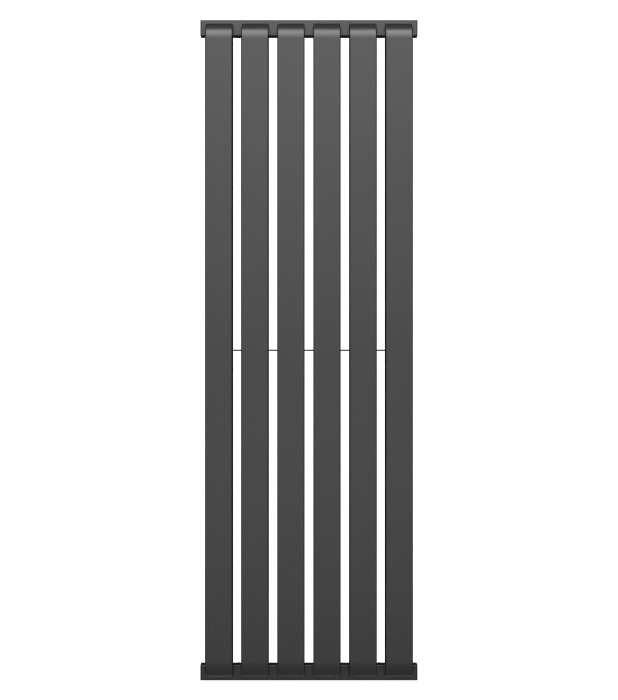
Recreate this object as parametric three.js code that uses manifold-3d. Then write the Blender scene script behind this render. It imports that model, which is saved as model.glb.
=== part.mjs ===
// Vertical flat-panel radiator: six hollow box panels with quarter-round ends, welded to the fronts of two
// rectangular headers, hung on four telescopic wall spigots.
// Millimetres, +Z up. The panel fronts face -Y and the wall is at +Y. The origin is the bottom centre of the whole
// part's box: x = 0 is the middle of the width, y = 0 the middle of the depth, z = 0 the bottom header's underside.

import * as THREE from "three";
import { mergeVertices } from "three/addons/utils/BufferGeometryUtils.js";
import Module from "manifold-3d";

const wasm = await Module();
wasm.setup();

// ---------------------------------------------------------------- driving dimensions

const HEIGHT = 1600; // underside of the bottom header to top of the top header
const WIDTH = 526; // end plate to end plate
const DEPTH = 100; // panel front to wall
const GAP = 0.3; // left between pieces that touch

const FRONT_Y = -DEPTH / 2; // front plane of the panels
const WALL_Y = DEPTH / 2; // wall plane

const PANELS = 6;
const PANEL_WIDTH = 65.5;
const PANEL_PITCH = 86.5;
const PANEL_SETBACK = 9.5; // panel end to header end, in height
const PANEL_WALL = 1.5;
const PANEL_EDGE_R = 2.2; // rounding of the long edges
const NOSE_R = 43.7; // quarter-round ends, and so the depth of the panel

const HEADER_DEPTH = 30;
const HEADER_HEIGHT = 38;
const HEADER_WALL = 1.8;
const HEADER_R = 2.0;
const HEADER_BORE_R = 0.7;
const HEADER_FRONT_Y = FRONT_Y + NOSE_R + GAP; // -6
const HEADER_MID_Y = HEADER_FRONT_Y + HEADER_DEPTH / 2; // 9
const HEADER_BACK_Y = HEADER_FRONT_Y + HEADER_DEPTH; // 24
const CAP_THICK = 2.5;
const CAP_EDGE = 0.6;

const WATERWAY_R = 7; // hole from each panel into each header
const WATERWAY_IN = 12; // its height above the panel's end

const BUSH_R = 12; // female G 1/2 bushes
const BUSH_BORE_R = 9.5;
const BUSH_LENGTH = 11;
const PORT_X = 236; // bottom connections, 472 mm apart
const PLUG_X = 236; // vent and blanking plug in the back of the top header

const PLUG_SHANK_R = 9.2;
const PLUG_SHANK = 10; // below the hexagon
const PLUG_FLATS = 22;
const PLUG_HEAD = 5.5;
const SEAL_THICK = 1.2;
const SEAL_IN_R = 9.6;
const SEAL_OUT_R = 11.6;

const SLEEVE_X = 173;
const SLEEVE_BORE_R = 8.3;
const SLEEVE_R = 13;
const SLEEVE_LENGTH = 17;
const POST_R = 8;
const POST_LENGTH = 17;
const FLANGE_R = 14;
const FLANGE_THICK = 3;
const SCREW_R = 3.2; // wall screw's clearance hole
const SCREW_HEAD_R = 5.8;
const SCREW_HEAD_DEPTH = 6;
const GRUB_R = 2.3;
const GRUB_HOLE_R = 2.6;
const GRUB_LENGTH = 4.2;
const GRUB_BACK = 13; // from the header's back to the grub screw's axis

const ROD_R = 1.6;
const ROD_HALF = 228; // its ends are hidden behind the outer panels

// ---------------------------------------------------------------- materials

const steelPaint = () => new THREE.MeshStandardMaterial({ color: 0x4b4b4c, roughness: 0.5, metalness: 0.1 });
const nickel = () => new THREE.MeshStandardMaterial({ color: 0xb9b6ae, roughness: 0.28, metalness: 1.0 });
const brass = () => new THREE.MeshStandardMaterial({ color: 0xb08d4a, roughness: 0.35, metalness: 1.0 });
const zinc = () => new THREE.MeshStandardMaterial({ color: 0x9fa3a8, roughness: 0.4, metalness: 1.0 });
const blackSteel = () => new THREE.MeshStandardMaterial({ color: 0x1d1d1f, roughness: 0.45, metalness: 0.8 });
const rubber = () => new THREE.MeshStandardMaterial({ color: 0x161616, roughness: 0.85, metalness: 0.0 });
const plastic = () => new THREE.MeshStandardMaterial({ color: 0xe6e6e2, roughness: 0.45, metalness: 0.0 });

// ---------------------------------------------------------------- solids

// A closed mesh becomes a solid once only its positions are left and shared vertices are merged.
function solid(geometry) {
  const g = geometry.clone();
  g.deleteAttribute("normal");
  g.deleteAttribute("uv");
  const m = mergeVertices(g, 1e-4);
  return new wasm.Manifold(
    new wasm.Mesh({
      numProp: 3,
      vertProperties: new Float32Array(m.attributes.position.array),
      triVerts: new Uint32Array(m.index.array),
    })
  );
}

function geometryOf(manifold) {
  const mesh = manifold.getMesh();
  const g = new THREE.BufferGeometry();
  g.setAttribute("position", new THREE.BufferAttribute(new Float32Array(mesh.vertProperties), 3));
  g.setIndex(new THREE.BufferAttribute(new Uint32Array(mesh.triVerts), 1));
  const flat = g.toNonIndexed();
  flat.computeVertexNormals();
  return flat;
}

const cut = (a, ...tools) => tools.reduce((s, t) => s.subtract(solid(t)), solid(a));
const join = (a, ...more) => more.reduce((s, t) => s.add(solid(t)), solid(a));

// Cylinder about `axis` ("x", "y" or "z"), from one end coordinate to the other, through point (a, b) of the other two axes
// in x, y, z order.
function rod(axis, r, from, to, a, b, segments = 24) {
  const g = new THREE.CylinderGeometry(r, r, to - from, segments);
  const mid = (from + to) / 2;
  if (axis === "x") return g.rotateZ(Math.PI / 2).translate(mid, a, b);
  if (axis === "y") return g.translate(a, mid, b);
  return g.rotateX(Math.PI / 2).translate(a, b, mid);
}

// Turned piece about the local +Y axis. The profile is a list of [radius, y]; it closes on itself or ends on the axis.
function turned(profile, segments = 24) {
  const points = profile.map(([r, y]) => new THREE.Vector2(r, y));
  if (profile[0][0] > 0) points.push(points[0].clone());
  return new THREE.LatheGeometry(points, segments);
}

function roundedRect(path, w, h, r, steps = 3) {
  // Centred on the origin, counter-clockwise.
  const corner = (cx, cy, start) => {
    for (let i = 0; i <= steps; i++) {
      const a = start + ((Math.PI / 2) * i) / steps;
      const x = cx + r * Math.cos(a);
      const y = cy + r * Math.sin(a);
      if (path.currentPoint.lengthSq() === 0 && path.curves.length === 0) path.moveTo(x, y);
      else path.lineTo(x, y);
    }
  };
  corner(w / 2 - r, -h / 2 + r, -Math.PI / 2);
  corner(w / 2 - r, h / 2 - r, 0);
  corner(-w / 2 + r, h / 2 - r, Math.PI / 2);
  corner(-w / 2 + r, -h / 2 + r, Math.PI);
  path.closePath();
  return path;
}

function hexagon(flats) {
  const s = new THREE.Shape();
  const r = flats / Math.sqrt(3);
  for (let i = 0; i < 6; i++) {
    const a = (Math.PI / 3) * i;
    if (i === 0) s.moveTo(r * Math.cos(a), r * Math.sin(a));
    else s.lineTo(r * Math.cos(a), r * Math.sin(a));
  }
  s.closePath();
  return s;
}

// Extrusions drawn in a plane and pushed along X (drawn y, z) or along Y (drawn x, z).
const alongX = (g, x) => g.applyMatrix4(new THREE.Matrix4().makeBasis(
  new THREE.Vector3(0, 1, 0), new THREE.Vector3(0, 0, 1), new THREE.Vector3(1, 0, 0))).translate(x, 0, 0);
const alongY = (g, y) => g.applyMatrix4(new THREE.Matrix4().makeBasis(
  new THREE.Vector3(-1, 0, 0), new THREE.Vector3(0, 0, 1), new THREE.Vector3(0, 1, 0))).translate(0, y, 0);

// ---------------------------------------------------------------- panel

// Side outline of a panel in (distance in front of its back, height above its bottom end), pulled in by `inset`.
function panelOutline(length, inset, steps) {
  const s = new THREE.Shape();
  const r = NOSE_R - inset;
  const from = -Math.acos(inset / r);
  const arc = (cy, a0, a1) => {
    for (let i = 0; i <= steps; i++) {
      const a = a0 + ((a1 - a0) * i) / steps;
      const x = i === 0 && a0 < 0 ? inset : i === steps && a1 > 0 ? inset : r * Math.cos(a);
      const y = cy + r * Math.sin(a);
      if (s.curves.length === 0 && s.currentPoint.x === 0 && s.currentPoint.y === 0 && i === 0 && a0 < 0) s.moveTo(x, y);
      else s.lineTo(x, y);
    }
  };
  arc(NOSE_R, from, 0);
  arc(length - NOSE_R, 0, -from);
  s.closePath();
  return s;
}

function panelGeometry() {
  const length = HEIGHT - 2 * PANEL_SETBACK;
  const outer = new THREE.ExtrudeGeometry(panelOutline(length, 0, 10), {
    depth: PANEL_WIDTH - 2 * PANEL_EDGE_R,
    bevelEnabled: true,
    bevelThickness: PANEL_EDGE_R,
    bevelSize: PANEL_EDGE_R,
    bevelOffset: -PANEL_EDGE_R,
    bevelSegments: 3,
  });
  outer.translate(0, 0, -(PANEL_WIDTH - 2 * PANEL_EDGE_R) / 2);
  const inner = new THREE.ExtrudeGeometry(panelOutline(length, PANEL_WALL, 8), {
    depth: PANEL_WIDTH - 2 * PANEL_WALL,
    bevelEnabled: false,
  });
  inner.translate(0, 0, -(PANEL_WIDTH - 2 * PANEL_WALL) / 2);
  // drawn x runs to the front (-Y), drawn y up (+Z)
  const place = new THREE.Matrix4().makeBasis(
    new THREE.Vector3(0, -1, 0), new THREE.Vector3(0, 0, 1), new THREE.Vector3(-1, 0, 0));
  outer.applyMatrix4(place);
  inner.applyMatrix4(place);
  // waterways: through the back wall, near each end
  const low = rod("y", WATERWAY_R, -PANEL_WALL - 2, 2, 0, WATERWAY_IN, 16);
  const high = rod("y", WATERWAY_R, -PANEL_WALL - 2, 2, 0, length - WATERWAY_IN, 16);
  return geometryOf(cut(outer, inner, low, high));
}

// ---------------------------------------------------------------- header

function headerGeometry(z0, top) {
  const length = WIDTH - 2 * (CAP_THICK + GAP);
  const ring = roundedRect(new THREE.Shape(), HEADER_DEPTH, HEADER_HEIGHT, HEADER_R);
  ring.holes.push(roundedRect(new THREE.Path(), HEADER_DEPTH - 2 * HEADER_WALL, HEADER_HEIGHT - 2 * HEADER_WALL, HEADER_BORE_R, 1));
  const tube = alongX(new THREE.ExtrudeGeometry(ring, { depth: length, bevelEnabled: false }), -length / 2);
  tube.translate(0, HEADER_MID_Y, z0 + HEADER_HEIGHT / 2);
  const way = top ? HEIGHT - PANEL_SETBACK - WATERWAY_IN : PANEL_SETBACK + WATERWAY_IN;
  const holes = [];
  for (let i = 0; i < PANELS; i++) {
    holes.push(rod("y", WATERWAY_R, HEADER_FRONT_Y - 2, HEADER_FRONT_Y + HEADER_WALL + 2, panelX(i), way, 16));
  }
  for (const side of [-1, 1]) {
    if (top) holes.push(rod("y", BUSH_R + GAP, HEADER_BACK_Y - HEADER_WALL - 2, HEADER_BACK_Y + 2, side * PLUG_X, z0 + HEADER_HEIGHT / 2));
    else holes.push(rod("z", BUSH_R + GAP, -2, HEADER_WALL + 2, side * PORT_X, HEADER_MID_Y));
  }
  return geometryOf(cut(tube, ...holes));
}

function panelX(i) {
  return (i - (PANELS - 1) / 2) * PANEL_PITCH;
}

function plateGeometry(w, h, r, thick, edge) {
  const s = roundedRect(new THREE.Shape(), w, h, r);
  const g = new THREE.ExtrudeGeometry(s, {
    depth: thick - 2 * edge,
    bevelEnabled: edge > 0,
    bevelThickness: edge,
    bevelSize: edge,
    bevelOffset: -edge,
    bevelSegments: 2,
  });
  return alongX(g, edge);
}

// ---------------------------------------------------------------- fittings

// Female bush about local Y, from its mouth at y = 0 inwards to y = -BUSH_LENGTH, with a chamfered mouth.
function bushGeometry() {
  return turned([
    [BUSH_BORE_R, -BUSH_LENGTH],
    [BUSH_R, -BUSH_LENGTH],
    [BUSH_R, 0],
    [BUSH_BORE_R + 0.9, 0],
    [BUSH_BORE_R, -0.9],
  ]);
}

// Plug body about local Y: the hexagon's underside is at y = 0 and the shank runs to -Y.
function plugGeometry(bore) {
  const hex = alongY(
    new THREE.ExtrudeGeometry(hexagon(PLUG_FLATS - 1.2), {
      depth: PLUG_HEAD - 1.2,
      bevelEnabled: true,
      bevelThickness: 0.6,
      bevelSize: 0.6,
      bevelSegments: 1,
    }),
    0.6
  );
  const shank = rod("y", PLUG_SHANK_R, -PLUG_SHANK, 1, 0, 0);
  let body = join(hex, shank);
  if (bore > 0) {
    body = body.subtract(solid(rod("y", bore, -PLUG_SHANK - 1, PLUG_HEAD + 1, 0, 0, 16)));
  } else {
    // a hexagon key socket in a solid plug, and a hollow shank
    body = body.subtract(solid(alongY(new THREE.ExtrudeGeometry(hexagon(12), { depth: 6, bevelEnabled: false }), PLUG_HEAD - 4.5)));
    body = body.subtract(solid(rod("y", 6.5, -PLUG_SHANK - 1, -2, 0, 0, 20)));
  }
  return geometryOf(body);
}

function sealGeometry() {
  return turned([
    [SEAL_IN_R, 0],
    [SEAL_OUT_R - 0.3, 0],
    [SEAL_OUT_R, 0.3],
    [SEAL_OUT_R, SEAL_THICK - 0.3],
    [SEAL_OUT_R - 0.3, SEAL_THICK],
    [SEAL_IN_R, SEAL_THICK],
  ]);
}

// Swivelling outlet: a collar about local Y with a spout that points down (-Z).
const OUTLET_R = 8;
const OUTLET_BORE_R = 4.7;
const OUTLET_LENGTH = 7;
function outletGeometry() {
  const collar = turned([
    [OUTLET_BORE_R, 0],
    [OUTLET_R, 0],
    [OUTLET_R, OUTLET_LENGTH - 1],
    [OUTLET_R - 1, OUTLET_LENGTH],
    [OUTLET_BORE_R, OUTLET_LENGTH],
  ], 28);
  const spout = rod("z", 2.4, -12, -6, 0, OUTLET_LENGTH / 2, 16);
  const way = rod("z", 1.2, -13, -3, 0, OUTLET_LENGTH / 2, 12);
  return geometryOf(join(collar, spout).subtract(solid(way)));
}

// Bleed spindle about local Y: a cone seat at the inner end, a plain shank and a square for the key.
function spindleGeometry() {
  const shank = turned([
    [0, -9],
    [1.6, -8],
    [2.8, -6.6],
    [2.8, PLUG_HEAD + 1.6],
    [2.3, PLUG_HEAD + 2.1],
    [0, PLUG_HEAD + 2.1],
  ], 20);
  const square = new THREE.BoxGeometry(5, 8, 5).translate(0, PLUG_HEAD + 1.5 + 4, 0);
  return geometryOf(join(shank, square));
}

// Hanger sleeve about local Y, standing on the header's back at y = 0, with its grub screw's hole facing down.
function sleeveGeometry() {
  const tube = turned([
    [SLEEVE_BORE_R, 0],
    [SLEEVE_R, 0],
    [SLEEVE_R, SLEEVE_LENGTH - 0.6],
    [SLEEVE_R - 0.6, SLEEVE_LENGTH],
    [SLEEVE_BORE_R, SLEEVE_LENGTH],
  ], 28);
  return geometryOf(cut(tube, rod("z", GRUB_HOLE_R, -SLEEVE_R - 1, -SLEEVE_BORE_R + 2, 0, GRUB_BACK, 16)));
}

// Grub screw about local Z, with its point at z = 0 and a hexagon socket in its lower end.
function grubGeometry() {
  const body = rod("z", GRUB_R, -GRUB_LENGTH, 0, 0, 0, 16);
  const socket = new THREE.ExtrudeGeometry(hexagon(2.5), { depth: 3, bevelEnabled: false }).translate(0, 0, -GRUB_LENGTH - 1);
  return geometryOf(cut(body, socket));
}

// Wall spigot about local Y: flange against the wall at y = 0, post towards -Y, counterbored for the screw's head.
function spigotGeometry() {
  const front = -FLANGE_THICK - POST_LENGTH;
  return turned([
    [SCREW_R, 0],
    [SCREW_R, front + SCREW_HEAD_DEPTH],
    [SCREW_HEAD_R, front + SCREW_HEAD_DEPTH],
    [SCREW_HEAD_R, front],
    [POST_R - 0.8, front],
    [POST_R, front + 0.8],
    [POST_R, -FLANGE_THICK],
    [FLANGE_R - 0.8, -FLANGE_THICK],
    [FLANGE_R, -FLANGE_THICK + 0.8],
    [FLANGE_R, 0],
  ], 28);
}

// ---------------------------------------------------------------- assembly

const radiator = new THREE.Group();
function add(parent, name, geometry, material, x = 0, y = 0, z = 0) {
  const mesh = new THREE.Mesh(geometry, material);
  mesh.name = name;
  mesh.position.set(x, y, z);
  parent.add(mesh);
  return mesh;
}

const body = new THREE.Group(); // everything that is welded or screwed to the radiator
const wall = new THREE.Group(); // what stays on the wall
radiator.add(body, wall);

const panel = panelGeometry();
for (let i = 0; i < PANELS; i++) {
  add(body, `panel_${i + 1}`, panel, steelPaint(), panelX(i), HEADER_FRONT_Y - GAP, PANEL_SETBACK);
}

add(body, "header_bottom", headerGeometry(0, false), steelPaint());
add(body, "header_top", headerGeometry(HEIGHT - HEADER_HEIGHT, true), steelPaint());

const cap = plateGeometry(HEADER_DEPTH, HEADER_HEIGHT, HEADER_R, CAP_THICK, CAP_EDGE);
for (const [row, z] of [["bottom", HEADER_HEIGHT / 2], ["top", HEIGHT - HEADER_HEIGHT / 2]]) {
  add(body, `cap_${row}_left`, cap, steelPaint(), -WIDTH / 2, HEADER_MID_Y, z);
  add(body, `cap_${row}_right`, cap, steelPaint(), WIDTH / 2 - CAP_THICK, HEADER_MID_Y, z);
}

// The diverter closes the bottom header between the first and second panel, so the flow rises through the first one.
const diverter = plateGeometry(HEADER_DEPTH - 2 * HEADER_WALL - 2 * GAP, HEADER_HEIGHT - 2 * HEADER_WALL - 2 * GAP, 1, 2, 0);
add(body, "flow_diverter", diverter, steelPaint(), -SLEEVE_X - 1, HEADER_MID_Y, HEADER_HEIGHT / 2);

add(body, "spacer_rod", rod("x", ROD_R, -ROD_HALF, ROD_HALF, 0, 0, 12), steelPaint(), 0, HEADER_FRONT_Y + ROD_R, HEIGHT / 2);

// bottom connections: mouths in the underside of the bottom header
const bush = bushGeometry();
for (const [side, name] of [[-1, "port_bush_left"], [1, "port_bush_right"]]) {
  const m = add(body, name, bush, nickel(), side * PORT_X, HEADER_MID_Y, 0);
  m.rotation.x = -Math.PI / 2; // local +Y, the mouth's outward direction, turns to -Z
}

// vent and blanking plug: mouths in the back of the top header
const topZ = HEIGHT - HEADER_HEIGHT / 2;
const sealY = HEADER_BACK_Y + GAP;
const headY = sealY + SEAL_THICK + GAP;
add(body, "plug_bush", bush, nickel(), -PLUG_X, HEADER_BACK_Y, topZ);
add(body, "vent_bush", bush, nickel(), PLUG_X, HEADER_BACK_Y, topZ);
add(body, "plug_seal", sealGeometry(), rubber(), -PLUG_X, sealY, topZ);
add(body, "vent_seal", sealGeometry(), rubber(), PLUG_X, sealY, topZ);
add(body, "blanking_plug", plugGeometry(0), nickel(), -PLUG_X, headY, topZ);
add(body, "vent_body", plugGeometry(3.1), nickel(), PLUG_X, headY, topZ);
add(body, "vent_outlet", outletGeometry(), plastic(), PLUG_X, headY + PLUG_HEAD + GAP, topZ);
add(body, "bleed_spindle", spindleGeometry(), brass(), PLUG_X, headY, topZ);

// hangers: sleeves and grub screws on the radiator, spigots on the wall
const sleeve = sleeveGeometry();
const grub = grubGeometry();
const spigot = spigotGeometry();
for (const [row, z] of [["bottom", HEADER_HEIGHT / 2], ["top", topZ]]) {
  for (const [side, name] of [[-1, "left"], [1, "right"]]) {
    add(body, `sleeve_${row}_${name}`, sleeve, steelPaint(), side * SLEEVE_X, HEADER_BACK_Y + GAP, z);
    add(body, `grub_${row}_${name}`, grub, blackSteel(), side * SLEEVE_X, HEADER_BACK_Y + GAP + GRUB_BACK, z - POST_R - 0.35);
    add(wall, `spigot_${row}_${name}`, spigot, zinc(), side * SLEEVE_X, WALL_Y, z);
  }
}

export default radiator;
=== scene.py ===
# Looks of the vertical flat-panel radiator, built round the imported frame. Metres, +Z up, panel fronts facing -Y.
import math

import bmesh
import bpy
from mathutils import Matrix, Vector, noise


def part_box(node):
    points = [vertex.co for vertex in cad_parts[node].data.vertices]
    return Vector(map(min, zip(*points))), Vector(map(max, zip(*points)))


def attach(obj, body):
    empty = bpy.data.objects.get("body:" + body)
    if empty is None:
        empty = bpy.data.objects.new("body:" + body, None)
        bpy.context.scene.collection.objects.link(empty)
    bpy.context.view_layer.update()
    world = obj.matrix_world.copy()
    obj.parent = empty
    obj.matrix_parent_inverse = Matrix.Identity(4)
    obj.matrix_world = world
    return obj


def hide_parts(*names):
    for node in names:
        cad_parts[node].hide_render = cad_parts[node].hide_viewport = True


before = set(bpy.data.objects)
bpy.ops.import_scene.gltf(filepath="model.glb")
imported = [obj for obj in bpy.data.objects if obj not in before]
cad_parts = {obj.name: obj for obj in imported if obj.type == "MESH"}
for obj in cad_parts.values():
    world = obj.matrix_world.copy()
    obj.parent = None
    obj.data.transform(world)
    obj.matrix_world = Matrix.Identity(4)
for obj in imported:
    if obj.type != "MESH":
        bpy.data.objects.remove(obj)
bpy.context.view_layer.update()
MM = 0.001


# ------------------------------------------------------------------ mesh helpers


def new_object(name, verts, faces):
    me = bpy.data.meshes.new(name)
    me.from_pydata([tuple(v) for v in verts], [], faces)
    bm = bmesh.new()
    bm.from_mesh(me)
    bmesh.ops.remove_doubles(bm, verts=bm.verts, dist=1e-7)
    bmesh.ops.recalc_face_normals(bm, faces=bm.faces)
    bm.to_mesh(me)
    bm.free()
    me.validate()
    o = bpy.data.objects.new(name, me)
    bpy.context.collection.objects.link(o)
    return o


def shade(o, angle=32.0):
    """Smooth faces, sharp edges above the angle, and normals that keep the large flats flat."""
    me = o.data
    me.shade_smooth()
    me.set_sharp_from_angle(angle=math.radians(angle))
    m = o.modifiers.new("normals", "WEIGHTED_NORMAL")
    m.mode = "FACE_AREA"
    m.weight = 100
    m.keep_sharp = True
    return o


def loft(rings, closed_ring=True, caps=True):
    """Vertices and faces through equally long rings of points."""
    verts, faces = [], []
    n = len(rings[0])
    for r in rings:
        verts += r
    for j in range(len(rings) - 1):
        for i in range(n if closed_ring else n - 1):
            a, b = j * n + i, j * n + (i + 1) % n
            faces.append((a, b, b + n, a + n))
    if caps:
        faces.append(tuple(range(n))[::-1])
        faces.append(tuple((len(rings) - 1) * n + i for i in range(n)))
    return verts, faces


def lathe(profile, segments=64, closed=False):
    """Turned body about +Z from (radius, z) points. closed joins the last point to the first; otherwise ends lie on the axis."""
    verts, faces = [], []
    index = []
    for r, z in profile:
        if r < 1e-9:
            index.append([len(verts)] * segments)
            verts.append((0, 0, z))
        else:
            index.append(list(range(len(verts), len(verts) + segments)))
            for i in range(segments):
                a = 2 * math.pi * i / segments
                verts.append((r * math.cos(a), r * math.sin(a), z))
    pairs = list(zip(index, index[1:] + ([index[0]] if closed else [])))
    if not closed:
        pairs = pairs[: len(index) - 1]
    for p, q in pairs:
        for i in range(segments):
            k = (i + 1) % segments
            f = []
            for v in (p[i], p[k], q[k], q[i]):
                if v not in f:
                    f.append(v)
            if len(f) > 2:
                faces.append(tuple(f))
    return verts, faces


def boolean(o, tools, operation="DIFFERENCE"):
    for t in tools:
        m = o.modifiers.new("cut", "BOOLEAN")
        m.operation = operation
        m.solver = "EXACT"
        m.object = t
    dg = bpy.context.evaluated_depsgraph_get()
    me = bpy.data.meshes.new_from_object(o.evaluated_get(dg))
    o.modifiers.clear()
    old = o.data
    o.data = me
    bpy.data.meshes.remove(old)
    for t in tools:
        bpy.data.objects.remove(t)
    return o


def cylinder(name, r, length, segments=64):
    """About +Z from 0 to length."""
    v, f = lathe([(0, 0), (r, 0), (r, length), (0, length)], segments)
    return new_object(name, v, f)


def place(o, matrix):
    """Moves the mesh itself, so that objects stay at the origin."""
    o.data.transform(matrix)
    o.data.update()
    return o


def to_y(x, y, z):
    """Local +Z turns to +Y at this point; local +Y turns to -Z, and local X stays X."""
    return Matrix.Translation((x, y, z)) @ Matrix.Rotation(-math.pi / 2, 4, "X")


def rounded_rect(w, h, r, steps):
    """Points of a rounded rectangle, counter-clockwise, centred on the origin."""
    out = []
    for cx, cy, a0 in ((w / 2 - r, -h / 2 + r, -90), (w / 2 - r, h / 2 - r, 0), (-w / 2 + r, h / 2 - r, 90), (-w / 2 + r, -h / 2 + r, 180)):
        for i in range(steps + 1):
            a = math.radians(a0 + 90 * i / steps)
            out.append((cx + r * math.cos(a), cy + r * math.sin(a)))
    return out


def piece(o, body, slot, material, *nodes):
    o.data.materials.clear()
    o.data.materials.append(material)
    if nodes:
        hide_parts(*nodes)
    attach(o, body)
    return o


# ------------------------------------------------------------------ materials


def material(name):
    m = bpy.data.materials.new(name)
    m.use_nodes = True
    nt = m.node_tree
    nt.nodes.clear()
    out = nt.nodes.new("ShaderNodeOutputMaterial")
    b = nt.nodes.new("ShaderNodeBsdfPrincipled")
    nt.links.new(b.outputs[0], out.inputs[0])
    coord = nt.nodes.new("ShaderNodeTexCoord")
    return m, nt, b, coord.outputs["Object"]


def noise_node(nt, vector, scale, detail=2.0, rough=0.5, stretch=None):
    if stretch:
        mp = nt.nodes.new("ShaderNodeMapping")
        mp.inputs["Scale"].default_value = stretch
        nt.links.new(vector, mp.inputs["Vector"])
        vector = mp.outputs[0]
    n = nt.nodes.new("ShaderNodeTexNoise")
    n.inputs["Scale"].default_value = scale
    n.inputs["Detail"].default_value = detail
    n.inputs["Roughness"].default_value = rough
    nt.links.new(vector, n.inputs["Vector"])
    return n.outputs[0]


def remap(nt, value, a0, a1, b0, b1):
    r = nt.nodes.new("ShaderNodeMapRange")
    for k, v in zip(("From Min", "From Max", "To Min", "To Max"), (a0, a1, b0, b1)):
        r.inputs[k].default_value = v
    nt.links.new(value, r.inputs["Value"])
    return r.outputs["Result"]


def mix_colour(nt, fac, a, b):
    m = nt.nodes.new("ShaderNodeMix")
    m.data_type = "RGBA"
    m.inputs[6].default_value = (*a, 1)
    m.inputs[7].default_value = (*b, 1)
    nt.links.new(fac, m.inputs[0])
    return m.outputs[2]


def bump(nt, b, layers):
    """layers: (height socket, distance in metres, strength), from coarse to fine."""
    last = None
    for height, distance, strength in layers:
        n = nt.nodes.new("ShaderNodeBump")
        n.inputs["Strength"].default_value = strength
        n.inputs["Distance"].default_value = distance
        nt.links.new(height, n.inputs["Height"])
        if last is not None:
            nt.links.new(last, n.inputs["Normal"])
        last = n.outputs[0]
    nt.links.new(last, b.inputs["Normal"])


PAINT = (0.0242, 0.0242, 0.0246)


def powder_coat():
    m, nt, b, co = material("powder_coat")
    cloud = noise_node(nt, co, 9.0, 3.0)
    grain = noise_node(nt, co, 1400.0, 2.0, 0.6)
    peel = noise_node(nt, co, 330.0, 2.0, 0.45)
    wave = noise_node(nt, co, 22.0, 1.0, 0.4, (1.0, 1.0, 0.35))
    speck = remap(nt, grain, 0.35, 0.7, 0.0, 1.0)
    both = nt.nodes.new("ShaderNodeMath")
    both.operation = "ADD"
    nt.links.new(remap(nt, cloud, 0.3, 0.7, 0.0, 0.35), both.inputs[0])
    nt.links.new(remap(nt, speck, 0.0, 1.0, 0.0, 0.65), both.inputs[1])
    low = tuple(c * 0.93 for c in PAINT)
    high = tuple(c * 1.08 for c in PAINT)
    nt.links.new(mix_colour(nt, both.outputs[0], low, high), b.inputs["Base Color"])
    nt.links.new(remap(nt, peel, 0.3, 0.7, 0.265, 0.335), b.inputs["Roughness"])
    b.inputs["Specular IOR Level"].default_value = 0.5
    b.inputs["IOR"].default_value = 1.5
    bump(nt, b, [(wave, 0.00012, 0.5), (peel, 0.00002, 0.3), (grain, 0.000006, 0.2)])
    return m


def metal(name, colour, dark, rough, lines=None, turned=0.0):
    """Plated or bare metal with tool marks and faint handling marks. turned is the piece's size across X and Z where its faces carry rings."""
    m, nt, b, co = material(name)
    b.inputs["Metallic"].default_value = 1.0
    smear = noise_node(nt, co, 420.0, 4.0, 0.6)
    nt.links.new(mix_colour(nt, remap(nt, smear, 0.25, 0.8, 0.0, 1.0), colour, dark), b.inputs["Base Color"])
    marks = noise_node(nt, co, 900.0, 3.0, 0.6, lines or (1, 1, 1))
    rough_value = remap(nt, marks, 0.3, 0.7, rough - 0.03, rough + 0.04)
    layers = [(marks, 0.000005, 0.3)]
    if turned:
        # rings about the piece's own axis, which runs along Y through the middle of its box
        gen = [n for n in nt.nodes if n.type == "TEX_COORD"][0].outputs["Generated"]
        mp = nt.nodes.new("ShaderNodeMapping")
        mp.inputs["Location"].default_value = (-0.5 * turned, 0, -0.5 * turned)
        mp.inputs["Scale"].default_value = (turned, 0, turned)
        nt.links.new(gen, mp.inputs["Vector"])
        radius = nt.nodes.new("ShaderNodeVectorMath")
        radius.operation = "LENGTH"
        nt.links.new(mp.outputs[0], radius.inputs[0])
        ring = nt.nodes.new("ShaderNodeTexNoise")
        ring.noise_dimensions = "1D"
        ring.inputs["Scale"].default_value = 2600.0
        ring.inputs["Detail"].default_value = 1.0
        nt.links.new(radius.outputs["Value"], ring.inputs["W"])
        layers.append((ring.outputs[0], 0.00003, 0.45))
    nt.links.new(rough_value, b.inputs["Roughness"])
    bump(nt, b, layers)
    return m


def plastic(name, colour, rough):
    m, nt, b, co = material(name)
    cloud = noise_node(nt, co, 120.0, 2.0)
    spark = noise_node(nt, co, 3000.0, 1.0)
    nt.links.new(mix_colour(nt, remap(nt, cloud, 0.3, 0.7, 0.0, 1.0), colour, tuple(c * 0.94 for c in colour)), b.inputs["Base Color"])
    nt.links.new(remap(nt, spark, 0.3, 0.7, rough - 0.05, rough + 0.06), b.inputs["Roughness"])
    bump(nt, b, [(spark, 0.00001, 0.4)])
    return m


PAINTED = powder_coat()
NICKEL = metal("nickel_plate", (0.63, 0.60, 0.55), (0.60, 0.573, 0.522), 0.22)
BRASS = metal("turned_brass", (0.58, 0.42, 0.17), (0.50, 0.355, 0.135), 0.28, (0.2, 4.0, 0.2))
ZINC = metal("zinc_plate", (0.57, 0.59, 0.62), (0.54, 0.562, 0.597), 0.30, (0.4, 3.0, 0.4), 28 * MM)
BLACK = metal("black_oxide", (0.035, 0.035, 0.038), (0.02, 0.02, 0.022), 0.38)
WHITE = plastic("moulded_white", (0.78, 0.78, 0.75), 0.42)
RUBBER = plastic("seal_rubber", (0.022, 0.022, 0.022), 0.75)


# ------------------------------------------------------------------ panels

HB_LO, HB_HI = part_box("header_bottom")
HT_LO, HT_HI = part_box("header_top")
HEADER_FRONT, HEADER_BACK = HB_LO.y, HB_HI.y
HEADER_MID = (HEADER_FRONT + HEADER_BACK) / 2
BACK = HEADER_FRONT - 0.02 * MM  # the panels' back plane, against the headers
EDGE = 3.1 * MM


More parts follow.
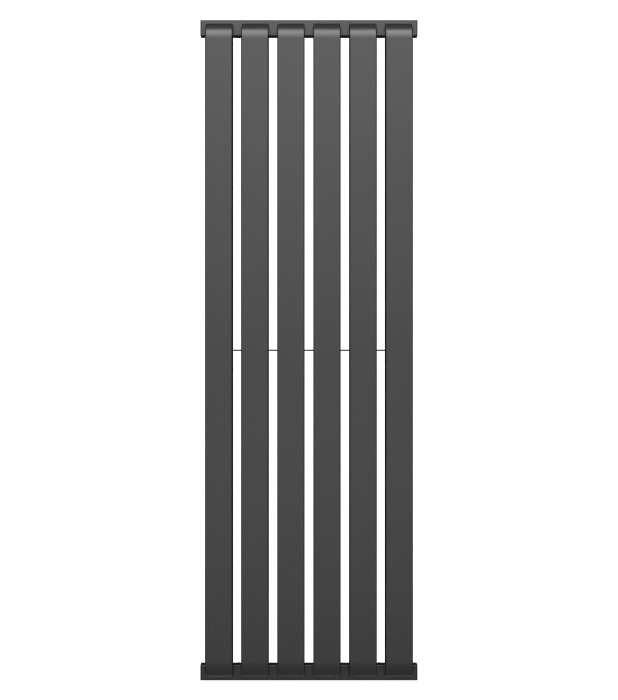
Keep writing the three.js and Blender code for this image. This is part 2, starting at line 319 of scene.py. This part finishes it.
def panel_outline(depth, length, inset, steps=22):
    """Side outline: (distance in front of the back plane, height above the lower end), pulled in by inset."""
    r = depth - inset
    a = math.acos(inset / r)
    pts = []
    for i in range(steps + 1):
        t = -a + a * i / steps
        pts.append((r * math.cos(t), depth + r * math.sin(t)))
    for i in range(steps + 1):
        t = a * i / steps
        pts.append((r * math.cos(t), length - depth + r * math.sin(t)))
    return pts


def panel(i):
    lo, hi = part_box(f"panel_{i}")
    depth, length = BACK - lo.y, hi.z - lo.z
    stations = []
    steps = 6
    for k in range(steps + 1):
        a = math.pi / 2 * k / steps
        stations.append((lo.x + EDGE * (1 - math.sin(a)), EDGE * (1 - math.cos(a))))
    stations = stations[::-1]
    # stations run from the side wall inwards: (x, inset)
    left = [(lo.x + EDGE * (1 - math.cos(math.pi / 2 * k / steps)), EDGE * (1 - math.sin(math.pi / 2 * k / steps))) for k in range(steps + 1)]
    right = [(hi.x - (x - lo.x), inset) for x, inset in left[::-1]]
    rings = []
    for x, inset in left + right:
        rings.append([Vector((x, BACK - u, lo.z + v)) for u, v in panel_outline(depth, length, inset)])
    v, f = loft(rings)
    o = shade(new_object(f"panel_skin_{i}", v, f))
    return piece(o, "radiator", "painted_steel", PAINTED, f"panel_{i}")


for i in range(1, 7):
    panel(i)


# ------------------------------------------------------------------ welds


def bead(name, path, radius, seed, ripple=0.10, step=1.1 * MM, closed=False, sides=10):
    """A weld bead: a tube along the path whose radius ripples, with round ends."""
    pts = []
    for a, b in zip(path, path[1:]):
        n = max(1, int(round((b - a).length / step)))
        for k in range(n):
            pts.append(a.lerp(b, k / n))
    if not closed:
        pts.append(path[-1])
    count = len(pts)
    rings = []
    up = None
    for k, p in enumerate(pts):
        if closed:
            t = (pts[(k + 1) % count] - pts[k - 1]).normalized()
        else:
            t = (pts[min(k + 1, count - 1)] - pts[max(k - 1, 0)]).normalized()
        if up is None:
            up = Vector((0, 1, 0)) if abs(t.y) < 0.9 else Vector((0, 0, 1))
        side = t.cross(up).normalized()
        nrm = side.cross(t).normalized()
        s = radius * (1 + ripple * math.sin(k * 2.1) + 0.12 * noise.noise(Vector((k * 0.21, seed * 7.3, 0.4))))
        end = 1.0
        if not closed:
            e = min(k, count - 1 - k)
            end = math.sqrt(max(0.0, 1 - (1 - min(1.0, e / 3.0)) ** 2)) * 0.95 + 0.05
        rings.append([p + (side * math.cos(a) + nrm * math.sin(a)) * s * end for a in (2 * math.pi * j / sides for j in range(sides))])
    if closed:
        rings.append(rings[0])
    v, f = loft(rings, caps=not closed)
    o = new_object(name, v, f)
    o.data.shade_smooth()
    return piece(o, "radiator", "painted_steel", PAINTED)


def smooth_path(corners, radius, steps=6):
    """A polyline with rounded corners."""
    out = [corners[0]]
    for a, b, c in zip(corners, corners[1:], corners[2:]):
        u, w = (a - b).normalized(), (c - b).normalized()
        p, q = b + u * radius, b + w * radius
        for k in range(steps + 1):
            t = k / steps
            out.append(p.lerp(b, t).lerp(b.lerp(q, t), t))
    out.append(corners[-1])
    return out


WELD = 0.6 * MM
for i in range(1, 7):
    lo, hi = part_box(f"panel_{i}")
    y = HEADER_FRONT - 0.10 * MM
    xl, xr = lo.x + 1.9 * MM, hi.x - 1.9 * MM
    top, bottom = hi.z - 0.6 * MM, lo.z + 0.6 * MM
    r = 2.0 * MM
    bead(f"weld_top_{i}", smooth_path([Vector((xl, y, HT_LO.z + 3 * MM)), Vector((xl, y, top)), Vector((xr, y, top)), Vector((xr, y, HT_LO.z + 3 * MM))], r), WELD, i)
    bead(f"weld_bottom_{i}", smooth_path([Vector((xl, y, HB_HI.z - 3 * MM)), Vector((xl, y, bottom)), Vector((xr, y, bottom)), Vector((xr, y, HB_HI.z - 3 * MM))], r), WELD, i + 20)


# ------------------------------------------------------------------ headers and end plates

HEADER_R = 2.0 * MM
HEADER_WALL = 1.8 * MM
CAP_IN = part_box("cap_top_right")[0].x  # inner face of the end plate
SEAM = 0.45 * MM


def tube(name, x0, x1, z_mid, depth, height):
    outer = [(x0, SEAM), (x0 + SEAM, 0), (x1 - SEAM, 0), (x1, SEAM)]
    rings = []
    for x, inset in outer:
        rings.append([Vector((x, HEADER_MID + a, z_mid + b)) for a, b in rounded_rect(depth - 2 * inset, height - 2 * inset, HEADER_R - inset, 7)])
    inner = []
    for x in (x1, x0):
        inner.append([Vector((x, HEADER_MID + a, z_mid + b)) for a, b in rounded_rect(depth - 2 * HEADER_WALL, height - 2 * HEADER_WALL, 0.8 * MM, 7)])
    rings += inner + [rings[0]]
    v, f = loft(rings, caps=False)
    return new_object(name, v, f)


def header(which, lo, hi):
    z_mid = (lo.z + hi.z) / 2
    o = tube(f"{which}_skin", -CAP_IN, CAP_IN, z_mid, hi.y - lo.y, hi.z - lo.z)
    tools = []
    if which == "header_bottom":
        for n in ("port_bush_left", "port_bush_right"):
            a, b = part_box(n)
            c = (a + b) / 2
            t = cylinder("tool", (b.x - a.x) / 2 + 0.02 * MM, 8 * MM)
            tools.append(place(t, Matrix.Translation((c.x, c.y, lo.z - 4 * MM))))
    else:
        for n in ("plug_bush", "vent_bush"):
            a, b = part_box(n)
            c = (a + b) / 2
            t = cylinder("tool", (b.x - a.x) / 2 + 0.02 * MM, 8 * MM)
            tools.append(place(t, to_y(c.x, hi.y - 4 * MM, c.z)))
    boolean(o, tools)
    shade(o, 28)
    return piece(o, "radiator", "painted_steel", PAINTED, which)


header("header_bottom", HB_LO, HB_HI)
header("header_top", HT_LO, HT_HI)


def cap(name):
    lo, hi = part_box(name)
    out = 1 if hi.x > 0 else -1
    x_in, x_out = (lo.x, hi.x) if out > 0 else (hi.x, lo.x)
    z_mid = (lo.z + hi.z) / 2
    r = 0.9 * MM
    stations = [(x_in, SEAM), (x_in + out * SEAM, 0)]
    for k in range(7):
        a = math.pi / 2 * k / 6
        stations.append((x_out - out * r * (1 - math.sin(a)), r * (1 - math.cos(a))))
    rings = []
    for x, inset in stations:
        rings.append([Vector((x, HEADER_MID + a, z_mid + b)) for a, b in rounded_rect(hi.y - lo.y - 2 * inset, hi.z - lo.z - 2 * inset, HEADER_R - inset, 7)])
    v, f = loft(rings)
    o = shade(new_object(name + "_plate", v, f))
    return piece(o, "radiator", "painted_steel", PAINTED, name)


for row in ("top", "bottom"):
    for side in ("left", "right"):
        cap(f"cap_{row}_{side}")


# ------------------------------------------------------------------ spacer rod and its tack welds

R_LO, R_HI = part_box("spacer_rod")
rod_r = (R_HI.z - R_LO.z) / 2
rod_y = BACK + rod_r - 0.15 * MM
rod_z = (R_LO.z + R_HI.z) / 2
prof = [(0, 0)] + [(rod_r - 0.6 * MM * (1 - math.sin(a)), 0.6 * MM * (1 - math.cos(a))) for a in (math.pi / 2 * k / 4 for k in range(5))]
length = R_HI.x - R_LO.x
v, f = lathe(prof + [(r, length - z) for r, z in prof[::-1]], 32)
o = shade(new_object("spacer_rod_bar", v, f), 50)
place(o, Matrix.Translation((R_LO.x, rod_y, rod_z)) @ Matrix.Rotation(math.pi / 2, 4, "Y"))
piece(o, "radiator", "painted_steel", PAINTED, "spacer_rod")

for i in range(1, 7):
    lo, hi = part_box(f"panel_{i}")
    c = (lo.x + hi.x) / 2
    for k, dx in enumerate((-18 * MM, 18 * MM)):
        for s in (-1, 1):
            z = rod_z + s * (rod_r * 0.95)
            bead(f"tack_{i}_{k}_{'up' if s > 0 else 'down'}", [Vector((c + dx - 5 * MM, BACK + 0.45 * MM, z)), Vector((c + dx + 5 * MM, BACK + 0.45 * MM, z))], 0.95 * MM, i * 3 + k + s)


# ------------------------------------------------------------------ fittings


def threaded_bush(name, matrix, length, r_out, r_in):
    """Female bush with its mouth at z = length facing +Z. The thread is a real helical groove of 1.814 mm pitch."""
    pitch, deep = 1.814 * MM, 1.0 * MM
    seg = 64
    rows = 60
    verts, faces = [], []
    mouth = 0.9 * MM

    def tri(t):
        t = t - math.floor(t)
        return min(1.0, max(0.0, 1.35 * (1 - abs(2 * t - 1)) - 0.18))

    rings = []
    for j in range(rows + 1):
        z = (length - mouth) * j / rows
        fade = min(1.0, (length - mouth - z) / (0.6 * pitch) + 0.2, z / (1.2 * pitch))
        ring = []
        for i in range(seg):
            a = 2 * math.pi * i / seg
            r = r_in - 0.25 * MM + deep * fade * tri(z / pitch - i / seg)
            ring.append(Vector((r * math.cos(a), r * math.sin(a), z)))
        rings.append(ring)

    def circle(r, z):
        return [Vector((r * math.cos(2 * math.pi * i / seg), r * math.sin(2 * math.pi * i / seg), z)) for i in range(seg)]

    rings += [circle(r_in + 1.0 * MM, length), circle(r_out - 0.25 * MM, length), circle(r_out, length - 0.25 * MM), circle(r_out, 0)]
    rings.append(rings[0])
    v, f = loft(rings, caps=False)
    o = shade(new_object(name, v, f), 25)
    return place(o, matrix)


for n in ("port_bush_left", "port_bush_right"):
    lo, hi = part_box(n)
    c = (lo + hi) / 2
    o = threaded_bush(n + "_threaded", Matrix.Translation((c.x, c.y, hi.z)) @ Matrix.Rotation(math.pi, 4, "X"), hi.z - lo.z, (hi.x - lo.x) / 2, 9.5 * MM)
    piece(o, "radiator", "nickel_brass", NICKEL, n)
for n in ("plug_bush", "vent_bush"):
    lo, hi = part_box(n)
    c = (lo + hi) / 2
    o = threaded_bush(n + "_threaded", to_y(c.x, lo.y, c.z), hi.y - lo.y, (hi.x - lo.x) / 2, 9.5 * MM)
    piece(o, "radiator", "nickel_brass", NICKEL, n)


def seal(n):
    lo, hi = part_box(n)
    c = (lo + hi) / 2
    r1, t = (hi.x - lo.x) / 2, (hi.y - lo.y) + 0.5 * MM
    r0 = 9.35 * MM
    mid, half = (r0 + r1) / 2, (r1 - r0) / 2
    prof = [(mid + half * math.copysign(abs(math.cos(a)) ** 0.7, math.cos(a)), t / 2 + t / 2 * math.copysign(abs(math.sin(a)) ** 0.7, math.sin(a))) for a in (2 * math.pi * k / 24 for k in range(24))]
    v, f = lathe(prof, 72, closed=True)
    o = new_object(n + "_ring", v, f)
    o.data.shade_smooth()
    place(o, to_y(c.x, lo.y - 0.25 * MM, c.z))
    piece(o, "radiator", "seal_rubber", RUBBER, n)


seal("plug_seal")
seal("vent_seal")


def hexagon_head(flats, height, seg_per_side=12, chamfer=0.45):
    """Hexagon from z = 0 to height with turned 30 degree chamfers at its top and a washer face under it."""
    rc = flats / 2 * 0.965
    n = 6 * seg_per_side
    ang = [2 * math.pi * i / n for i in range(n)]

    def hex_r(a, f):
        k = (a + math.pi / 6) % (math.pi / 3) - math.pi / 6
        return f / 2 / math.cos(k)

    outer_top, outer_low = [], []
    for a in ang:
        r = hex_r(a, flats)
        drop = max(0.0, r - rc) * math.tan(math.radians(30)) + 0.02 * MM
        outer_top.append(Vector((r * math.cos(a), r * math.sin(a), height - drop)))
        outer_low.append(Vector((r * math.cos(a), r * math.sin(a), 0.5 * MM + 0.0 * drop)))

    def circle(r, z):
        return [Vector((r * math.cos(a), r * math.sin(a), z)) for a in ang]

    return circle, outer_low, outer_top, rc


def plug(n, bore):
    lo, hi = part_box(n)
    c = (lo + hi) / 2
    flats, head = hi.z - lo.z, 5.5 * MM
    shank = (hi.y - lo.y) - head
    circle, low, top, rc = hexagon_head(flats, head)
    rs = 9.2 * MM
    rings = [circle(rs - 0.8 * MM, -shank), circle(rs, -shank + 0.8 * MM), circle(rs, 0), circle(rc, 0), circle(rc, 0.5 * MM), low, top, circle(rc, head)]
    if bore:
        rings += [circle(6.2 * MM, head), circle(5.6 * MM, head - 0.5 * MM), circle(bore + 0.3 * MM, head - 0.5 * MM), circle(bore, head - 0.8 * MM), circle(bore, -shank)]
        rings.append(rings[0])
        v, f = loft(rings, caps=False)
        o = new_object(n + "_turned", v, f)
    else:
        v, f = loft(rings)
        o = new_object(n + "_turned", v, f)
        key, hgt = 12 * MM, 8 * MM
        pts = [(key / math.sqrt(3) * math.cos(math.pi / 3 * k), key / math.sqrt(3) * math.sin(math.pi / 3 * k)) for k in range(6)]
        v, f = loft([[Vector((x, y, z)) for x, y in pts] for z in (head - 4.5 * MM, head - 4.5 * MM + hgt)])
        socket = new_object("tool", v, f)
        v, f = lathe([(0, head - 1.1 * MM), (6.0 * MM, head - 1.1 * MM), (7.6 * MM, head + 0.5 * MM), (0, head + 0.5 * MM)], 72)
        cone = new_object("tool", v, f)
        boolean(o, [socket, cone])
    shade(o, 24)
    place(o, to_y(c.x, lo.y + shank, c.z))
    return piece(o, "radiator", "nickel_brass", NICKEL, n)


plug("blanking_plug", 0)
plug("vent_body", 3.05 * MM)

# swivelling outlet: moulded collar, spout, and grip flutes round the rim
lo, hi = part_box("vent_outlet")
out_r = (hi.x - lo.x) / 2
out_len = hi.y - lo.y
cx = (lo.x + hi.x) / 2
cz = hi.z - out_r
seg = 96
rings = []
for r, z, flute in ((4.7, 0.0, 0), (out_r / MM - 0.4, 0.0, 0), (out_r / MM, 0.4, 0.5), (out_r / MM, 4.6, 0.5), (out_r / MM - 0.25, 5.6, 0.4), (out_r / MM - 0.9, 6.6, 0.1), (out_r / MM - 1.4, out_len / MM, 0), (5.2, out_len / MM, 0), (4.7, out_len / MM - 0.5, 0)):
    ring = []
    for i in range(seg):
        a = 2 * math.pi * i / seg
        rr = r * MM - flute * 0.5 * MM * max(0.0, math.cos(24 * a)) ** 2
        ring.append(Vector((rr * math.cos(a), rr * math.sin(a), z * MM)))
    rings.append(ring)
rings.append(rings[0])
v, f = loft(rings, caps=False)
o = new_object("vent_outlet_moulded", v, f)
v, f = lathe([(0, 5.6 * MM), (2.4 * MM, 5.6 * MM), (2.4 * MM, 11.6 * MM), (2.0 * MM, 12.0 * MM), (0, 12.0 * MM)], 48)
spout = place(new_object("tool", v, f), Matrix.Translation((0, 0, out_len / 2)) @ Matrix.Rotation(-math.pi / 2, 4, "X"))
boolean(o, [spout], "UNION")
hole = place(cylinder("tool", 1.2 * MM, 10 * MM, 32), Matrix.Translation((0, 0, out_len / 2)) @ Matrix.Rotation(-math.pi / 2, 4, "X") @ Matrix.Translation((0, 0, 3 * MM)))
boolean(o, [hole])
shade(o, 40)
place(o, to_y(cx, lo.y, cz))
piece(o, "vent_outlet", "white_plastic", WHITE, "vent_outlet")

# bleed spindle: turned shank with a cone seat and a square head with chamfered corners
lo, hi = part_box("bleed_spindle")
c = (lo + hi) / 2
total = hi.y - lo.y
sq = 2.5 * MM
seg = 64


def square_ring(h, z, corner=0.35 * MM):
    pts = rounded_rect(2 * h, 2 * h, corner, 15)
    return [Vector((x, y, z)) for x, y in pts]


def round_ring(r, z):
    pts = rounded_rect(2 * r, 2 * r, r * 0.9999, 15)
    return [Vector((x, y, z)) for x, y in pts]


mid = total - 8.6 * MM
rings = [round_ring(0.1 * MM, 0), round_ring(1.6 * MM, 1.0 * MM), round_ring(2.8 * MM, 2.4 * MM)]
z = 3.2 * MM
while z < mid - 2.5 * MM:  # fine machine thread, as turned grooves
    rings += [round_ring(2.8 * MM, z), round_ring(2.5 * MM, z + 0.4 * MM)]
    z += 0.8 * MM
rings += [round_ring(2.8 * MM, mid - 1.6 * MM), round_ring(2.8 * MM, mid), square_ring(sq, mid + 0.3 * MM), square_ring(sq, total - 0.5 * MM), square_ring(sq - 0.5 * MM, total)]
v, f = loft(rings)
o = shade(new_object("bleed_spindle_turned", v, f), 30)
place(o, to_y(c.x, lo.y, c.z))
piece(o, "bleed_spindle", "bare_brass", BRASS, "bleed_spindle")


# ------------------------------------------------------------------ hangers


def hanger(row, side):
    n = f"sleeve_{row}_{side}"
    lo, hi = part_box(n)
    c = (lo + hi) / 2
    r, length = (hi.x - lo.x) / 2, hi.y - lo.y + 0.28 * MM
    rb = 8.2 * MM
    e = 0.7 * MM
    prof = [(rb, 0), (r, 0)] + [(r - e + e * math.cos(a), length - e + e * math.sin(a)) for a in (math.pi / 2 * k / 5 for k in range(6))] + [(rb + 0.5 * MM, length), (rb, length - 0.5 * MM)]
    v, f = lathe(prof, 72, closed=True)
    o = new_object(n + "_tube", v, f)
    g = f"grub_{row}_{side}"
    glo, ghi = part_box(g)
    gc = (glo + ghi) / 2
    hole = place(cylinder("tool", 2.55 * MM, 8 * MM, 40), Matrix.Translation((0, gc.y - lo.y + 0.28 * MM, 0)))
    hole.data.transform(Matrix.Identity(4))
    # the hole faces down: local +Y of the sleeve is world -Z
    bpy.data.objects.remove(hole)
    hole = cylinder("tool", 2.55 * MM, 8 * MM, 40)
    place(hole, Matrix.Translation((0, 6.5 * MM, gc.y - lo.y + 0.28 * MM)) @ Matrix.Rotation(-math.pi / 2, 4, "X"))
    boolean(o, [hole])
    shade(o, 30)
    place(o, to_y(c.x, lo.y - 0.28 * MM, c.z))
    piece(o, "radiator", "painted_steel", PAINTED, n)
    # weld ring where the sleeve meets the header
    ring = [Vector((c.x + (r + 0.2 * MM) * math.cos(a), HEADER_BACK + 0.35 * MM, c.z + (r + 0.2 * MM) * math.sin(a))) for a in (2 * math.pi * k / 72 for k in range(73))]
    bead(f"weld_{n}", ring, 1.3 * MM, len(n) + (3 if side == "left" else 9), closed=True)
    # grub screw: chamfered, hexagon socket in its lower end
    gr, gl = (ghi.x - glo.x) / 2, ghi.z - glo.z
    v, f = lathe([(0, 0), (gr - 0.5 * MM, 0), (gr, 0.5 * MM), (gr, gl - 0.8 * MM), (gr - 0.8 * MM, gl), (0, gl)], 40)
    s = new_object(g + "_screw", v, f)
    key = 2.5 * MM
    pts = [(key / math.sqrt(3) * math.cos(math.pi / 3 * k), key / math.sqrt(3) * math.sin(math.pi / 3 * k)) for k in range(6)]
    v, f = loft([[Vector((x, y, z)) for x, y in pts] for z in (-1 * MM, 2 * MM)])
    boolean(s, [new_object("tool", v, f)])
    shade(s, 30)
    place(s, Matrix.Translation((gc.x, gc.y, glo.z)))
    piece(s, "radiator", "black_steel", BLACK, g)
    # wall spigot
    w = f"spigot_{row}_{side}"
    wlo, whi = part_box(w)
    wc = (wlo + whi) / 2
    total = whi.y - wlo.y
    fr, ft = (whi.x - wlo.x) / 2, 3 * MM
    pr = 8 * MM
    prof = [(3.2 * MM, 6 * MM), (5.8 * MM, 6 * MM), (5.8 * MM, 0.3 * MM), (6.1 * MM, 0), (pr - 0.9 * MM, 0), (pr - 0.25 * MM, 0.35 * MM), (pr, 1.0 * MM)]
    z = 3.0 * MM
    prof += [(pr, total - ft - 1.6 * MM), (pr - 0.5 * MM, total - ft - 1.4 * MM), (pr - 0.5 * MM, total - ft - 0.4 * MM), (pr, total - ft)]
    prof += [(fr - 0.8 * MM, total - ft), (fr - 0.25 * MM, total - ft + 0.25 * MM), (fr, total - ft + 0.8 * MM), (fr, total - 0.3 * MM), (fr - 0.3 * MM, total), (3.5 * MM, total), (3.2 * MM, total - 0.3 * MM)]
    v, f = lathe(prof, 72, closed=True)
    p = shade(new_object(w + "_turned", v, f), 25)
    place(p, to_y(wc.x, wlo.y, wc.z))
    piece(p, "wall_fixings", "zinc_steel", ZINC, w)


for row in ("top", "bottom"):
    for side in ("left", "right"):
        hanger(row, side)

# the diverter stays as the CAD has it, inside the bottom header
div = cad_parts["flow_diverter"]
div.data.materials.clear()
div.data.materials.append(PAINTED)


# ------------------------------------------------------------------ camera, lights, floor

cam = bpy.data.cameras.new("camera")
cam.lens = 79.5
cam.sensor_width = 36.0
cam.clip_start, cam.clip_end = 0.05, 60
camera = bpy.data.objects.new("camera", cam)
camera.location = (0.0001, -3.75, 0.8006)
camera.rotation_euler = (math.pi / 2, 0, 0)
bpy.context.collection.objects.link(camera)
bpy.context.scene.camera = camera


def softbox(name, location, target, size, power, spread=180.0):
    d = bpy.data.lights.new(name, "AREA")
    d.shape = "RECTANGLE"
    d.size, d.size_y = size
    d.energy = power
    d.spread = math.radians(spread)
    o = bpy.data.objects.new(name, d)
    o.visible_camera = False
    o.location = location
    o.rotation_euler = (Vector(target) - Vector(location)).to_track_quat("-Z", "Y").to_euler()
    bpy.context.collection.objects.link(o)
    return o


# one tall soft bank in front of the part, as a column of softboxes from below eye level to high above it
AIM = Vector((0, 0, 1.2))
for elevation, power in ((-36, 4.1), (-25, 4.05), (-15, 5.2), (0, 8.3), (15, 10.8), (30, 13.3), (42, 18.4), (54, 27.0), (66, 25.0), (78, 1.9)):
    e = math.radians(elevation)
    softbox(f"bank_{elevation}", AIM + Vector((-0.02, -math.cos(e), math.sin(e))) * 2.6, AIM, (2.4, 0.6), power)
# a large one on each side, partly behind it, and two weak wide ones low behind it
for side, power, flank in ((-1, 36, 3), (1, 20, 2.6)):
    softbox(f"side_{side}", (side * 2.45, 1.65, 1.0), (0, 0, 0.8), (1.6, 2.4), power)
    softbox(f"flank_{side}", (side * 3.0, 0.35, 0.6), (0, 0, 0.8), (1.0, 2.2), flank)
softbox("under", (0, 1.5, -2.2), (0, 0, 0.4), (2.4, 1.0), 2)
softbox("back_low", (0, 2.4, -1.3), (0, 0, 0.8), (2.6, 0.8), 9)

world = bpy.data.worlds.new("studio")
bpy.context.scene.world = world
world.use_nodes = True
nt = world.node_tree
nt.nodes.clear()
w_out = nt.nodes.new("ShaderNodeOutputWorld")
mix = nt.nodes.new("ShaderNodeMixShader")
path = nt.nodes.new("ShaderNodeLightPath")
lit = nt.nodes.new("ShaderNodeBackground")
seen = nt.nodes.new("ShaderNodeBackground")
lit.inputs[0].default_value = (1, 1, 1, 1)
lit.inputs[1].default_value = 0.008
seen.inputs[0].default_value = (1, 1, 1, 1)
seen.inputs[1].default_value = 1.05
nt.links.new(path.outputs["Is Camera Ray"], mix.inputs[0])
nt.links.new(lit.outputs[0], mix.inputs[1])
nt.links.new(seen.outputs[0], mix.inputs[2])
nt.links.new(mix.outputs[0], w_out.inputs[0])

# a pale round floor below the wall-hung part; its rim fades into the white surroundings
FLOOR_Z = -0.13
FLOOR_Y = -0.95
v, f = lathe([(0, 0), (0.7, 0), (1.25, 0)], 96)
floor = new_object("floor", v, f)
if floor.data.polygons[0].normal.z < 0:
    floor.data.flip_normals()
floor.location = (0, FLOOR_Y, FLOOR_Z)
fm, nt, b, co = material("floor_pale")
b.inputs["Base Color"].default_value = (0.62, 0.62, 0.62, 1)
b.inputs["Roughness"].default_value = 0.9
tr = nt.nodes.new("ShaderNodeBsdfTransparent")
mixs = nt.nodes.new("ShaderNodeMixShader")
ln = nt.nodes.new("ShaderNodeVectorMath")
ln.operation = "LENGTH"
nt.links.new(co, ln.inputs[0])
fade = remap(nt, ln.outputs["Value"], 0.70, 1.24, 0.0, 1.0)
geo = nt.nodes.new("ShaderNodeNewGeometry")
either = nt.nodes.new("ShaderNodeMath")
either.operation = "MAXIMUM"
nt.links.new(fade, either.inputs[0])
nt.links.new(geo.outputs["Backfacing"], either.inputs[1])  # clear from below
nt.links.new(either.outputs[0], mixs.inputs[0])
nt.links.new(b.outputs[0], mixs.inputs[1])
nt.links.new(tr.outputs[0], mixs.inputs[2])
nt.links.new(mixs.outputs[0], nt.nodes["Material Output"].inputs[0])
floor.data.materials.append(fm)

bpy.context.scene.view_settings.view_transform = "Standard"
bpy.context.scene.view_settings.look = "None"
bpy.context.scene.cycles.filter_width = 1.0
bpy.context.scene.view_settings.exposure = 0.0
